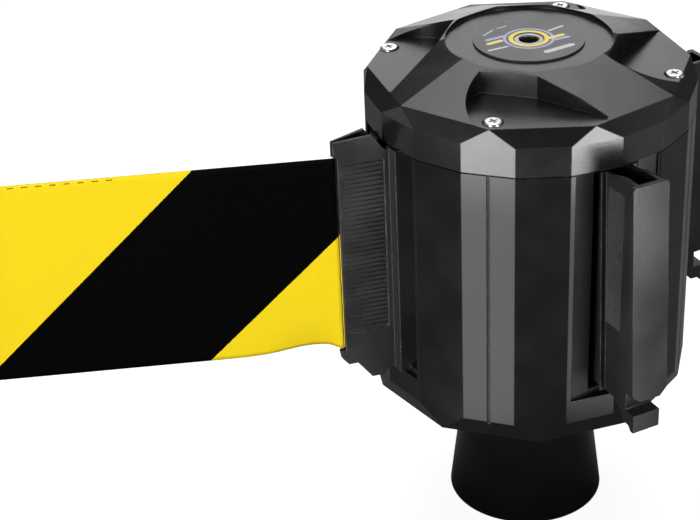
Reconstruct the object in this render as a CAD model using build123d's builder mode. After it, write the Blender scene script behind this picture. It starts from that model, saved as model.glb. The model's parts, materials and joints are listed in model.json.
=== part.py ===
from build123d import *
import os
from math import asin, atan2, cos, degrees, hypot, pi, radians, sin, sqrt, tan

# Post-top head with one retractable 100 mm belt, three belt receivers and a flared post collar.
# Millimetres, +Z up. The origin is on the head's axis in the collar's lower mouth.
# Radii at and beyond the body's faces are given from head_r, so they move with it.
# The belt outlet faces -X; the receivers face -Y, +X and +Y; screws and seams lie on the diagonals.

# ---- driving dimensions: head ----
sides = 20                      # the body is a 20-sided prism
head_r = 77.0                   # corner radius of that prism
wall = 3.0
collar_height = 76.0            # collar mouth to the lowest edge of the body
body_height = 138.5             # lowest edge of the body to its top edge
cap_gap = 0.5                   # shadow gap between body and cap
cap_skirt = 14.0                # upright band of the cap
cap_bevel_height = 7.0
cap_bevel_width = 5.6           # how far the wide bevels lean in
cap_corner_lean = 1.9           # how far the corner bevels lean in
cap_slope_height = 15.0         # height of the ten-sided roof before the dish is cut
cap_slope = 69.8                # lean of the roof from the vertical, degrees
bottom_bevel_height = 9.8
bottom_bevel_width = 3.7
seam_width = 1.4
seam_depth = 0.7
parting = 0.06                  # gap between neighbouring mouldings on each side of a joint line

# ---- driving dimensions: cap details ----
dish_r = 38.4
dish_floor = 10.2               # above the cap's edge plane
disc_r = 25.5
disc_thickness = 0.9
insert_r = 6.7
insert_thread_r = 4.25          # tapping radius of an M10 thread
insert_length = 13.0
grip_wall = 39.0                # distance of a finger grip's back wall from the axis
grip_half_width = 12.9
grip_far = (51.5, 47.0)         # where the straight side of a grip runs out at the edge
grip_arc_mid = (51.0, -15.4)    # the curved side bulges out to here
grip_arc_end = (72.5, -5.6)
grip_overrun = 8.0              # the cuts run this far past the corners
screw_circle_r = head_r - 10.0
screw_head_r = 4.2
screw_head_height = 1.7
screw_shank_r = 1.6
screw_length = 18.0
screw_recess = 0.8
screw_play = 0.3                # hole over shank
seat_play = 0.5                 # seat over head

# ---- driving dimensions: belt, drum and spring ----
belt_width = 100.0
belt_thickness = 0.8
belt_low = 112.4                # lower edge of the belt above the origin
belt_turn = 20.8                # the belt leaves the mouth this many degrees off -X, towards +Y
belt_run_length = 182.0         # mouth of the outlet to the end clip
drum_core_r = 20.0
coil_r = 38.0
flange_r = 46.0
flange_thickness = 2.0
belt_side_gap = 2.0             # belt edge to each drum flange
axle_r = 6.0
bush_r = 10.0
bush_length = 8.0
running_gap = 0.05              # radial clearance of bushes and rollers
drum_wall = 3.0
cup_r = 42.0
cup_height = 20.0
cup_wall = 2.0
arbor_r = 8.6
spring_thickness = 0.8
spring_height = 16.0
spring_turns = 9
spring_pitch = 3.2

# ---- driving dimensions: windows, receivers and outlet ----
window_half_width = 21.4
window_sill = 97.5
pocket_depth_r = head_r - 15.0  # distance of the pocket's back plate from the axis
pocket_plate = 3.0
stem_half_width = 6.7
stem_wall = 1.8
plate_half_width = 9.2
plate_thickness = 2.4
plate_top_r = head_r + 21.7     # outer face of the hook plate at its top edge
plate_lean = 3.2                # degrees, the plate leans out towards its foot
plate_top = 216.0
plate_low = 110.0
plate_corner = 3.8              # chamfers at its lower corners
plate_round = 1.6               # rounded upper corners
stem_low = 102.7
stem_heel_r = head_r + 10.3     # the stem's underside slants down from here to the foot
stem_toe_r = head_r + 17.6
stem_toe_low = 94.6
stem_floor = 3.3
stem_shoulder = 2.0             # off the body, the stem's top is level as far as this
stem_crest = 11.0               # and has risen to the plate's top by here
foot_r = head_r + 25.6
foot_depth = 6.8
foot_half_width = 7.0
foot_top = 101.3
foot_low = 92.3
foot_chamfer = 2.0
root_plate_top_r = head_r - 2.1  # outer face of the plate at the stem's root, at its top edge
root_plate_lean = 2.1
root_plate_thickness = 1.5
flange_half_gap = 11.5          # the pocket's front flanges leave this gap between them
flange_depth = 1.0
mouth_r = head_r + 23.6         # outer edge of the belt outlet
upper_lip_r = head_r + 25.4
upper_lip_low = 213.2
lower_lip_r = head_r + 25.8
lower_lip_top = 111.8
mouth_top = 220.8
mouth_low = 103.8
mouth_root_half = 6.4
mouth_tip_half = 1.7
mouth_root_wall = 2.0
mouth_tip_wall = 1.0
chin_r = head_r + 11.3          # below the mouth the outlet steps down to its chin
chin_back_r = head_r + 6.0
chin_low = 94.6
chin_heel_r = head_r + 18.1
panel_depth = 0.5               # the grip panels on the outlet are sunk this far
panel_low = 120.5
panel_high = 210.5
panel_near_r = head_r + 2.4
panel_far_r = head_r + 22.6
panel_round = 3.0
spout_heel = 2.3                # off the body, the spout's underside is level as far as this
roller_r = 4.0
roller_pin_r = 1.5
roller_x = 8.0 - head_r

# ---- driving dimensions: end clip ----
clip_length = 26.0              # grip part of the clip, along the belt
clip_root_half = 7.2
clip_tip_half = 4.0
clip_head_depth = 12.2          # channel part that hooks over a receiver's plate
clip_head_half = 13.2
clip_low = 107.0
clip_high = 217.0
clip_channel_depth = 6.4
clip_channel_half = 9.8
clip_throat_half = 7.6
clip_pin_r = 1.5
clip_wall = 2.6                 # round the channel
clip_roof = 5.0
clip_screw_r = 2.6
clip_screw_shank_r = 1.4
clip_screw_sink = 1.6           # heads lie this deep in their seats
clip_screw_head = 1.4
clip_screw_length = 9.0

# ---- driving dimensions: collar and base ----
collar_mouth_r = 38.6
collar_neck_r = 29.2
collar_wall = 3.2
collar_root = 8.0               # skirt and socket are solid together over this height
socket_r = 25.25                # for a 50 mm post
socket_wall = 2.6
socket_depth = 62.0
socket_web = 3.0
collar_flange_r = 42.0
collar_flange = 3.0
collar_ribs = 6
rib_thickness = 2.2
rib_setback = 8.0
cover_thickness = 3.0
cover_screw_circle_r = head_r - 11.3
cover_screw_r = 1.6
cover_r = head_r - 8.0
ledge_thickness = 3.0
ledge_r = head_r - 15.0
post_r = 4.2                    # corner columns that tie cap, shells and cover together
post_circle_r = head_r - 12.0
upper_plate_thickness = 2.0
upper_plate_r = head_r - 7.0

# ---- heights and radii that follow ----
apothem = head_r * cos(pi / sides)
inner_r = head_r - wall
body_low = collar_height
body_high = body_low + body_height
cap_low = body_high + cap_gap
bevel_low = cap_low + cap_skirt
edge_plane = bevel_low + cap_bevel_height
dish_z = edge_plane + dish_floor
cover_low = body_low + ledge_thickness
cover_high = cover_low + cover_thickness
belt_high = belt_low + belt_width
lower_flange_top = belt_low - belt_side_gap
lower_flange_low = lower_flange_top - flange_thickness
upper_flange_low = belt_high + belt_side_gap
upper_flange_top = upper_flange_low + flange_thickness
cup_low = lower_flange_low - cup_height
upper_plate_low = upper_flange_top + 2.0
upper_plate_top = upper_plate_low + upper_plate_thickness
cap_cavity_top = edge_plane - 3.5
collar_hollow_r = collar_mouth_r - collar_wall
diagonals = (45, 135, 225, 315)
belt_dir = (-cos(radians(belt_turn)), sin(radians(belt_turn)))
belt_side = (-belt_dir[1], belt_dir[0])

os.makedirs("parts", exist_ok=True)


def save(solid, name):
    solid.label = name
    export_step(solid, f"parts/{name}.step")


def polar(radius, angle):
    return (radius * cos(radians(angle)), radius * sin(radians(angle)))


def along_belt(distance, offset=0.0):
    """A point in plan, so far from the outlet's mouth along the straight belt."""
    return (
        -mouth_r + belt_dir[0] * distance + belt_side[0] * offset,
        belt_dir[1] * distance + belt_side[1] * offset,
    )


# ---- cap ----
bevel_taper = degrees(atan2(cap_bevel_width, cap_bevel_height))
corner_taper = degrees(atan2(cap_corner_lean, cap_bevel_height))

with BuildPart() as cap_edge:
    with BuildSketch(Plane.XY.offset(bevel_low)):
        RegularPolygon(apothem, 10, major_radius=False, rotation=9)
    extrude(amount=cap_bevel_height, taper=bevel_taper)
    with BuildSketch(Plane.XY.offset(bevel_low)):
        RegularPolygon(apothem, 10, major_radius=False, rotation=27)
    extrude(amount=cap_bevel_height, taper=corner_taper, mode=Mode.INTERSECT)

with BuildPart() as top_cap:
    with BuildSketch(Plane.XY.offset(cap_low)):
        RegularPolygon(head_r, sides)
    extrude(amount=cap_skirt)
    add(cap_edge.part)
    with BuildSketch(Plane.XY.offset(edge_plane)):
        RegularPolygon(apothem - cap_bevel_width, 10, major_radius=False, rotation=9)
    extrude(amount=cap_slope_height, taper=cap_slope)
    # dish round the hub
    with BuildSketch(Plane.XY.offset(dish_z)):
        Circle(dish_r)
    extrude(amount=cap_slope_height, mode=Mode.SUBTRACT)
    # four finger grips, each with a flat back, one straight and one curved side
    for angle in diagonals:
        with BuildSketch(Plane.XY.offset(edge_plane).rotated((0, 0, angle))):
            with BuildLine():
                Line((grip_wall, -grip_half_width), (grip_wall, grip_half_width))
                Line((grip_wall, grip_half_width), grip_far)
                Line(grip_far, (head_r + grip_overrun, grip_far[1]))
                Line((head_r + grip_overrun, grip_far[1]), (head_r + grip_overrun, grip_arc_end[1]))
                Line((head_r + grip_overrun, grip_arc_end[1]), grip_arc_end)
                ThreePointArc(grip_arc_end, grip_arc_mid, (grip_wall, -grip_half_width))
            make_face()
        extrude(amount=cap_slope_height + 1, mode=Mode.SUBTRACT)
    # hollow underside
    with BuildSketch(Plane.XY.offset(cap_low)):
        RegularPolygon(inner_r, sides)
    extrude(amount=cap_skirt, mode=Mode.SUBTRACT)
    with BuildSketch(Plane.XY.offset(bevel_low)):
        Circle(apothem - cap_bevel_width - wall)
    extrude(amount=cap_cavity_top - bevel_low, mode=Mode.SUBTRACT)
    with BuildSketch(Plane.XY.offset(cap_cavity_top)):
        Circle(grip_wall - wall)
        Circle(insert_r + 5, mode=Mode.SUBTRACT)
    extrude(amount=dish_z - wall - cap_cavity_top, mode=Mode.SUBTRACT)
    # screw holes with shallow seats, and the hub bore
    with BuildSketch(Plane.XY.offset(edge_plane - screw_recess)):
        with PolarLocations(screw_circle_r, 4, start_angle=45):
            Circle(screw_head_r + seat_play)
    extrude(amount=cap_slope_height, mode=Mode.SUBTRACT)
    with BuildSketch(Plane.XY.offset(cap_low)):
        with PolarLocations(screw_circle_r, 4, start_angle=45):
            Circle(screw_shank_r + screw_play)
        Circle(insert_r)
    extrude(amount=dish_z, mode=Mode.SUBTRACT)
save(top_cap.part, "top_cap")

with BuildPart() as hub_insert:
    with BuildSketch(Plane.XY.offset(dish_z + disc_thickness - 0.3 - insert_length)):
        Circle(insert_r)
        Circle(insert_thread_r, mode=Mode.SUBTRACT)
    extrude(amount=insert_length)
    insert_rim = hub_insert.edges().filter_by(GeomType.CIRCLE).group_by(Axis.Z)[-1]
    chamfer(insert_rim.sort_by(SortBy.RADIUS)[0], 0.5)
save(hub_insert.part, "hub_insert")

with BuildPart() as label_disc:
    with BuildSketch(Plane.XY.offset(dish_z)):
        Circle(disc_r)
        Circle(insert_r + 0.3, mode=Mode.SUBTRACT)
    extrude(amount=disc_thickness)
save(label_disc.part, "label_disc")


def pan_head_screws(seat, length, places, head_r, head_height, shank_r):
    """Cross-head screws whose heads stand on the plane z = seat."""
    with BuildPart() as screws:
        with BuildSketch(Plane.XY.offset(seat)):
            with Locations(*places):
                Circle(head_r)
        extrude(amount=head_height)
        head_rims = screws.edges().filter_by(GeomType.CIRCLE).group_by(Axis.Z)[-1]
        fillet(head_rims, head_height * 0.6)
        with BuildSketch(Plane.XY.offset(seat - length)):
            with Locations(*places):
                Circle(shank_r)
        extrude(amount=length)
        with BuildSketch(Plane.XY.offset(seat + head_height)):
            with Locations(*places):
                Rectangle(head_r * 1.0, head_r * 0.24)
                Rectangle(head_r * 0.24, head_r * 1.0)
        extrude(amount=-head_height * 0.6, mode=Mode.SUBTRACT)
    return screws.part


cap_screw_places = [polar(screw_circle_r, angle) for angle in diagonals]
post_places = [polar(post_circle_r, angle) for angle in diagonals]
cap_screws = pan_head_screws(edge_plane - screw_recess, screw_length, cap_screw_places,
                             screw_head_r, screw_head_height, screw_shank_r)
save(cap_screws, "cap_screws")

# ---- body: four side shells cut from one ring ----
with BuildPart() as body_ring:
    with BuildSketch(Plane.XY.offset(body_low)):
        RegularPolygon(head_r, sides)
    extrude(amount=body_height)
    bottom_taper = degrees(atan2(bottom_bevel_width, bottom_bevel_height))
    with BuildSketch(Plane.XY.offset(body_low)):
        RegularPolygon(apothem - bottom_bevel_width, 10, major_radius=False, rotation=27)
    extrude(amount=body_height + 1, taper=-bottom_taper, mode=Mode.INTERSECT)
    with BuildSketch(Plane.XY.offset(cover_low)):
        RegularPolygon(inner_r - bottom_bevel_width, sides)
    extrude(amount=bottom_bevel_height, mode=Mode.SUBTRACT)
    with BuildSketch(Plane.XY.offset(cover_low + bottom_bevel_height)):
        RegularPolygon(inner_r, sides)
    extrude(amount=body_height, mode=Mode.SUBTRACT)
    with BuildSketch(Plane.XY.offset(body_low)):
        Circle(ledge_r)
    extrude(amount=ledge_thickness, mode=Mode.SUBTRACT)
    # windows on the four axes
    for angle in (0, 90):
        with BuildSketch(Plane.XY.offset(window_sill).rotated((0, 0, angle))):
            Rectangle(3 * head_r, 2 * window_half_width)
        extrude(amount=body_height, mode=Mode.SUBTRACT)
    # seam grooves on the diagonals
    for angle in (45, 135):
        with BuildSketch(Plane.XY.offset(body_low).rotated((0, 0, angle))):
            with Locations((apothem, 0), (-apothem, 0)):
                Rectangle(2 * seam_depth, seam_width)
        extrude(amount=body_height, mode=Mode.SUBTRACT)
    # screw holes through the ledge
    with BuildSketch(Plane.XY.offset(body_low)):
        with PolarLocations(cover_screw_circle_r, 8, start_angle=22.5 + 9):
            Circle(cover_screw_r)
    extrude(amount=ledge_thickness, mode=Mode.SUBTRACT)


def side_shell(angle):
    """One quarter of the body, centred on the direction angle."""
    reach = 2 * head_r
    with BuildPart() as shell:
        add(body_ring.part)
        with BuildSketch(Plane.XY.offset(body_low - 1).rotated((0, 0, angle))):
            with BuildLine():
                Polyline((parting * sqrt(2), 0), (reach, reach - parting * sqrt(2)),
                         (reach, parting * sqrt(2) - reach), (parting * sqrt(2), 0))
            make_face()
        extrude(amount=body_height + 2, mode=Mode.INTERSECT)
    return shell.part


shell_names = {
    180: "side_shell_outlet",
    270: "side_shell_front",
    0: "side_shell_right",
    90: "side_shell_rear",
}
for shell_angle, shell_name in shell_names.items():
    save(side_shell(shell_angle), shell_name)

# ---- base: cover, collar, corner columns, upper plate ----
cover_screw_places = [polar(cover_screw_circle_r, 22.5 + 9 + 45 * i) for i in range(8)]
collar_screw_places = [polar(collar_flange_r - 5.5, angle) for angle in diagonals]

with BuildPart() as bottom_cover:
    with BuildSketch(Plane.XY.offset(cover_low)):
        Circle(cover_r)
        Circle(axle_r, mode=Mode.SUBTRACT)
        with Locations(*post_places):
            Circle(post_r, mode=Mode.SUBTRACT)
        with Locations(*cover_screw_places):
            Circle(cover_screw_r, mode=Mode.SUBTRACT)
        with Locations(*collar_screw_places):
            Circle(2.0, mode=Mode.SUBTRACT)
    extrude(amount=cover_thickness)
save(bottom_cover.part, "bottom_cover")

with BuildPart() as corner_columns:
    with BuildSketch(Plane.XY.offset(cover_low)):
        with Locations(*post_places):
            Circle(post_r)
    extrude(amount=bevel_low - cover_low)
    with BuildSketch(Plane.XY.offset(edge_plane - screw_recess - screw_length)):
        with Locations(*cap_screw_places):
            Circle(screw_shank_r)
    extrude(amount=screw_length, mode=Mode.SUBTRACT)
save(corner_columns.part, "corner_columns")

cover_screws = pan_head_screws(cover_high, cover_thickness + ledge_thickness - 0.5, cover_screw_places,
                               2.9, 1.4, cover_screw_r)
save(cover_screws, "cover_screws")

with BuildPart() as collar:
    with BuildSketch(Plane.XZ):
        with BuildLine():
            Polyline((collar_mouth_r, 0), (collar_neck_r, collar_height),
                     (collar_flange_r, collar_height), (collar_flange_r, cover_low),
                     (socket_r, cover_low), (socket_r, socket_depth + socket_web),
                     (0, socket_depth + socket_web), (0, socket_depth),
                     (socket_r, socket_depth), (socket_r, 0), (socket_r + socket_wall, 0),
                     (socket_r + socket_wall, socket_depth - collar_root),
                     (collar_hollow_r, 0), (collar_mouth_r, 0))
        make_face()
    revolve(axis=Axis.Z)
    # ribs between the socket and the skirt
    for rib in range(collar_ribs):
        with BuildSketch(Plane.XZ.rotated((0, 0, 30 + rib * 360 / collar_ribs))):
            with BuildLine():
                Polyline((socket_r + socket_wall / 2, rib_setback),
                         (collar_hollow_r, rib_setback),
                         (collar_neck_r - 1, socket_depth), (socket_r + socket_wall / 2, socket_depth),
                         (socket_r + socket_wall / 2, rib_setback))
            make_face()
        extrude(amount=rib_thickness / 2, both=True)
    with BuildSketch(Plane.XY.offset(collar_height)):
        with Locations(*collar_screw_places):
            Circle(1.6)
    extrude(amount=collar_flange, mode=Mode.SUBTRACT)
save(collar.part, "post_collar")

collar_screws = pan_head_screws(cover_high, cover_thickness + collar_flange - 0.4, collar_screw_places,
                                3.4, 1.4, 1.6)
save(collar_screws, "collar_screws")

with BuildPart() as upper_plate:
    with BuildSketch(Plane.XY.offset(upper_plate_low)):
        Circle(upper_plate_r)
        Circle(axle_r, mode=Mode.SUBTRACT)
        with Locations(*post_places):
            Circle(post_r, mode=Mode.SUBTRACT)
        with PolarLocations(44, 4):
            Circle(9, mode=Mode.SUBTRACT)
    extrude(amount=upper_plate_thickness)
save(upper_plate.part, "upper_plate")

# ---- axle, bushes, drum and spring ----
axle_head = 4.0
nut_height = 5.0
with BuildPart() as axle:
    with BuildSketch(Plane.XY.offset(cover_low - axle_head)):
        RegularPolygon(10.0, 6)
    extrude(amount=axle_head)
    with BuildSketch(Plane.XY.offset(cover_low)):
        Circle(axle_r)
    extrude(amount=upper_plate_top + nut_height + 1.5 - cover_low)
    chamfer(axle.edges().filter_by(GeomType.CIRCLE).sort_by(Axis.Z)[-1], 0.8)
save(axle.part, "drum_axle")

with BuildPart() as axle_nut:
    with BuildSketch(Plane.XY.offset(upper_plate_top)):
        RegularPolygon(10.0, 6)
        Circle(axle_r, mode=Mode.SUBTRACT)
    extrude(amount=nut_height)
save(axle_nut.part, "axle_nut")

with BuildPart() as spring_arbor:
    with BuildSketch(Plane.XY.offset(cover_high)):
        Circle(arbor_r)
        Circle(axle_r, mode=Mode.SUBTRACT)
    extrude(amount=lower_flange_low - 0.6 - cover_high)
save(spring_arbor.part, "spring_arbor")

# flat spiral spring: half circles about two centres, so each half turn is half a pitch wider
with BuildPart() as power_spring:
    with BuildSketch(Plane.XY.offset(cup_low + cup_wall + 1.4)):
        with BuildLine():
            outer_points = []
            for half in range(2 * spring_turns):
                spring_r = arbor_r + spring_thickness + half * spring_pitch / 2
                sign = 1 if half % 2 == 0 else -1
                centre = 0.0 if half % 2 == 0 else spring_pitch / 2
                outer_points.append((centre + sign * spring_r, sign, centre, spring_r))
            for start, sign, centre, spring_r in outer_points:
                ThreePointArc((start, 0), (centre, sign * spring_r), (centre - sign * spring_r, 0))
            last = outer_points[-1]
            tail = last[2] - last[1] * last[3]
            Line((tail, 0), (tail - spring_thickness, 0))
            for start, sign, centre, spring_r in reversed(outer_points):
                inner = spring_r - spring_thickness
                ThreePointArc((centre - sign * inner, 0), (centre, sign * inner), (centre + sign * inner, 0))
            first = outer_points[0][0]
            Line((first - spring_thickness, 0), (first, 0))
        make_face()
    extrude(amount=spring_height)
save(power_spring.part, "power_spring")

with BuildPart() as spring_cup:
    with BuildSketch(Plane.XY.offset(lower_flange_low)):
        Circle(flange_r)
        Circle(bush_r, mode=Mode.SUBTRACT)
    extrude(amount=flange_thickness)
    with BuildSketch(Plane.XY.offset(cup_low + cup_wall)):
        Circle(cup_r)
        Circle(cup_r - cup_wall, mode=Mode.SUBTRACT)
    extrude(amount=cup_height - cup_wall)
save(spring_cup.part, "drum_lower_flange")

with BuildPart() as spring_cover:
    with BuildSketch(Plane.XY.offset(cup_low)):
        Circle(cup_r)
        Circle(arbor_r + 1.2, mode=Mode.SUBTRACT)
    extrude(amount=cup_wall)
save(spring_cover.part, "spring_cover")

with BuildPart() as drum_core:
    with BuildSketch(Plane.XZ):
        with BuildLine():
            Polyline((bush_r, lower_flange_top), (drum_core_r, lower_flange_top),
                     (drum_core_r, upper_flange_low), (bush_r, upper_flange_low),
                     (bush_r, upper_flange_low - bush_length),
                     (drum_core_r - drum_wall, upper_flange_low - bush_length),
                     (drum_core_r - drum_wall, lower_flange_top + bush_length),
                     (bush_r, lower_flange_top + bush_length), (bush_r, lower_flange_top))
        make_face()
    revolve(axis=Axis.Z)
save(drum_core.part, "drum_core")

with BuildPart() as upper_flange:
    with BuildSketch(Plane.XY.offset(upper_flange_low)):
        Circle(flange_r)
        Circle(bush_r, mode=Mode.SUBTRACT)
    extrude(amount=flange_thickness)
save(upper_flange.part, "drum_upper_flange")

bush_lows = {"lower_bush": lower_flange_low, "upper_bush": upper_flange_low - bush_length}
for bush_name, bush_low in bush_lows.items():
    with BuildPart() as bush:
        with BuildSketch(Plane.XY.offset(bush_low)):
            Circle(bush_r)
            Circle(axle_r + running_gap, mode=Mode.SUBTRACT)
        extrude(amount=bush_length + flange_thickness)
    save(bush.part, bush_name)

with BuildPart() as belt_coil:
    with BuildSketch(Plane.XY.offset(belt_low)):
        Circle(coil_r)
        Circle(drum_core_r, mode=Mode.SUBTRACT)
    extrude(amount=belt_width)
save(belt_coil.part, "belt_coil")

# ---- belt inside the head, guide rollers ----
nip = 0.15                      # belt face to roller
channel_play = 1.2              # belt edge to the floor of the outlet's channel
roller_y = roller_r + belt_thickness / 2 + nip
feed_r = coil_r + belt_thickness / 2 + nip
wrap_r = roller_r + belt_thickness / 2 + nip
# the belt leaves the coil on its +Y side and bends round the +Y roller: a crossed tangent
centre_distance = hypot(roller_x, roller_y)
feed_heading = atan2(roller_y, roller_x) + asin((feed_r + wrap_r) / centre_distance)
feed_dir = (cos(feed_heading), sin(feed_heading))


def coil_tangent(offset):
    radius = feed_r + offset
    return (feed_dir[1] * radius, -feed_dir[0] * radius)


def roller_point(heading, offset):
    radius = wrap_r - offset
    return (roller_x - sin(heading) * radius, roller_y + cos(heading) * radius)


mouth_inside = -mouth_r + 0.3
mid_heading = (feed_heading + pi) / 2
half_belt = belt_thickness / 2
with BuildPart() as belt_inner_run:
    with BuildSketch(Plane.XY.offset(belt_low)):
        with BuildLine():
            Line(coil_tangent(half_belt), roller_point(feed_heading, half_belt))
            ThreePointArc(roller_point(feed_heading, half_belt), roller_point(mid_heading, half_belt),
                          roller_point(pi, half_belt))
            Line(roller_point(pi, half_belt), (mouth_inside, roller_point(pi, half_belt)[1]))
            Line((mouth_inside, roller_point(pi, half_belt)[1]),
                 (mouth_inside, roller_point(pi, -half_belt)[1]))
            Line((mouth_inside, roller_point(pi, -half_belt)[1]), roller_point(pi, -half_belt))
            ThreePointArc(roller_point(pi, -half_belt), roller_point(mid_heading, -half_belt),
                          roller_point(feed_heading, -half_belt))
            Line(roller_point(feed_heading, -half_belt), coil_tangent(-half_belt))
            Line(coil_tangent(-half_belt), coil_tangent(half_belt))
        make_face()
    extrude(amount=belt_width)
save(belt_inner_run.part, "belt_inner_run")

pocket_low = window_sill + parting
pocket_high = body_high - parting
roller_low = pocket_low + pocket_plate + 6
roller_high = pocket_high - 2.6
roller_sides = {"guide_roller_rear": roller_y, "guide_roller_front": -roller_y}
for roller_name, side_y in roller_sides.items():
    with BuildPart() as roller:
        with BuildSketch(Plane.XY.offset(roller_low)):
            with Locations((roller_x, side_y)):
                Circle(roller_r)
                Circle(roller_pin_r + running_gap, mode=Mode.SUBTRACT)
        extrude(amount=roller_high - roller_low)
    save(roller.part, roller_name)

with BuildPart() as roller_pins:
    with BuildSketch(Plane.XY.offset(pocket_low + pocket_plate)):
        with Locations((roller_x, roller_y), (roller_x, -roller_y)):
            Circle(roller_pin_r)
    extrude(amount=pocket_high - 0.2 - pocket_low - pocket_plate)
save(roller_pins.part, "roller_pins")


# ---- pockets behind the windows, shared by the receivers and the outlet; drawn facing +X ----
cheek_x = (apothem - window_half_width * sin(2 * pi / sides)) / cos(2 * pi / sides) - 0.7
pocket_half = window_half_width - parting
with BuildPart() as pocket:
    with BuildSketch(Plane.XY.offset(pocket_low)):
        with Locations(((pocket_depth_r + cheek_x) / 2, 0)):
            Rectangle(cheek_x - pocket_depth_r, 2 * pocket_half)
    extrude(amount=pocket_high - pocket_low)
    with BuildSketch(Plane.XY.offset(pocket_low + pocket_plate)):
        with Locations(((pocket_depth_r + pocket_plate + head_r) / 2, 0)):
            Rectangle(head_r - pocket_depth_r - pocket_plate, 2 * (pocket_half - 2.0))
    extrude(amount=pocket_high, mode=Mode.SUBTRACT)


def plate_face(height, inset=0.0):
    """Radius of the hook plate's outer face at a height, less an inset."""
    return plate_top_r + (plate_top - height) * tan(radians(plate_lean)) - inset


def root_face(height):
    """Radius of the root plate's outer face at a height."""
    return root_plate_top_r + (body_high - height) * tan(radians(root_plate_lean))


# ---- receiver: a hollow, open-topped stem that carries a hook plate and a foot ----
plate_back_low = plate_face(plate_low, plate_thickness)
plate_back_top = plate_face(plate_top, plate_thickness)
pocket_floor_r = pocket_depth_r + pocket_plate
stem_front_r = foot_r - foot_depth
stem_top = body_high - 1.0
stem_clearance = 2.0            # hollow of the stem to the pocket's back plate
stem_hollow_low = stem_low + stem_floor
with BuildPart() as hook_plate:
    with BuildSketch(Plane.XZ):
        with BuildLine():
            Polyline((plate_face(plate_low), plate_low), (plate_face(plate_top), plate_top),
                     (plate_back_top, plate_top), (plate_back_low, plate_low),
                     (plate_face(plate_low), plate_low))
        make_face()
    extrude(amount=plate_half_width, both=True)
    corner_edges = hook_plate.edges().filter_by(lambda edge: abs(edge.center().Y) > plate_half_width - 0.1)
    across_edges = corner_edges.filter_by(lambda edge: edge.length < 2 * plate_thickness).sort_by(Axis.Z)
    chamfer(across_edges[:2], plate_corner)
    fillet(hook_plate.edges().filter_by(lambda edge: abs(edge.center().Y) > plate_half_width - 0.1)
           .filter_by(lambda edge: edge.length < 2 * plate_thickness).sort_by(Axis.Z)[-2:], plate_round)

with BuildPart() as receiver:
    add(pocket.part)
    with BuildSketch(Plane.XZ):
        with BuildLine():
            Polyline((pocket_depth_r, stem_low), (stem_heel_r, stem_low), (stem_toe_r, stem_toe_low),
                     (stem_front_r, stem_toe_low), (stem_front_r, plate_low), (plate_back_low, plate_low),
                     (plate_back_top, plate_top), (head_r + stem_crest, plate_top),
                     (head_r + stem_shoulder, stem_top), (pocket_depth_r, stem_top),
                     (pocket_depth_r, stem_low))
        make_face()
    extrude(amount=stem_half_width, both=True)
    add(hook_plate.part)
    # narrow plate at the stem's root
    with BuildSketch(Plane.XZ):
        with BuildLine():
            Polyline((root_face(stem_low), stem_low), (root_face(stem_top), stem_top),
                     (root_face(stem_top) - root_plate_thickness, stem_top),
                     (root_face(stem_low) - root_plate_thickness, stem_low), (root_face(stem_low), stem_low))
        make_face()
    extrude(amount=plate_half_width, both=True)
    # foot
    with BuildSketch(Plane.XZ):
        with BuildLine():
            Polyline((stem_toe_r, stem_toe_low), (foot_r - 2 * foot_chamfer, stem_toe_low),
                     (foot_r - foot_chamfer, foot_low), (foot_r, foot_low), (foot_r, foot_top),
                     (stem_toe_r, foot_top), (stem_toe_r, stem_toe_low))
        make_face()
    extrude(amount=foot_half_width, both=True)
    # hollow of the stem, open at the top
    with BuildSketch(Plane.XZ):
        with BuildLine():
            Polyline((pocket_floor_r + stem_clearance, stem_hollow_low), (stem_front_r - 2, stem_hollow_low),
                     (plate_face(plate_low + 4, plate_thickness) - 1, plate_low + 4),
                     (plate_face(plate_top + 2, plate_thickness), plate_top + 2),
                     (pocket_floor_r + stem_clearance, plate_top + 2),
                     (pocket_floor_r + stem_clearance, stem_hollow_low))
        make_face()
    extrude(amount=stem_half_width - stem_wall, both=True, mode=Mode.SUBTRACT)
    # flanges along the pocket's front
    with BuildSketch(Plane.XY.offset(pocket_low)):
        with Locations((cheek_x - flange_depth / 2, (flange_half_gap + pocket_half) / 2),
                       (cheek_x - flange_depth / 2, -(flange_half_gap + pocket_half) / 2)):
            Rectangle(flange_depth, pocket_half - flange_half_gap)
    extrude(amount=pocket_high - pocket_low)

receiver_angles = {"receiver_right": 0, "receiver_rear": 90, "receiver_front": 270}
for receiver_name, receiver_angle in receiver_angles.items():
    save(receiver.part.rotate(Axis.Z, receiver_angle), receiver_name)

# ---- belt outlet: pocket, roller housing and a tapering spout; drawn facing +X, then turned ----
housing_half = 12.0
housing_wall = 2.0
housing_floor = 3.0
housing_roof = 1.6
spout_root = head_r - 1.0
spout_sill = window_sill + 1.0
spout_collar_r = head_r + 7.4   # the spout's top edge comes down to the body from here


def taper(x, at_root, at_tip):
    """Value at a distance from the axis that runs evenly from the spout's root to its mouth."""
    return at_root + (at_tip - at_root) * (x - spout_root) / (mouth_r - spout_root)


def spout_half(x):
    return taper(x, mouth_root_half, mouth_tip_half)


def channel_half(x):
    return spout_half(x) - taper(x, mouth_root_wall, mouth_tip_wall)


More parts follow.
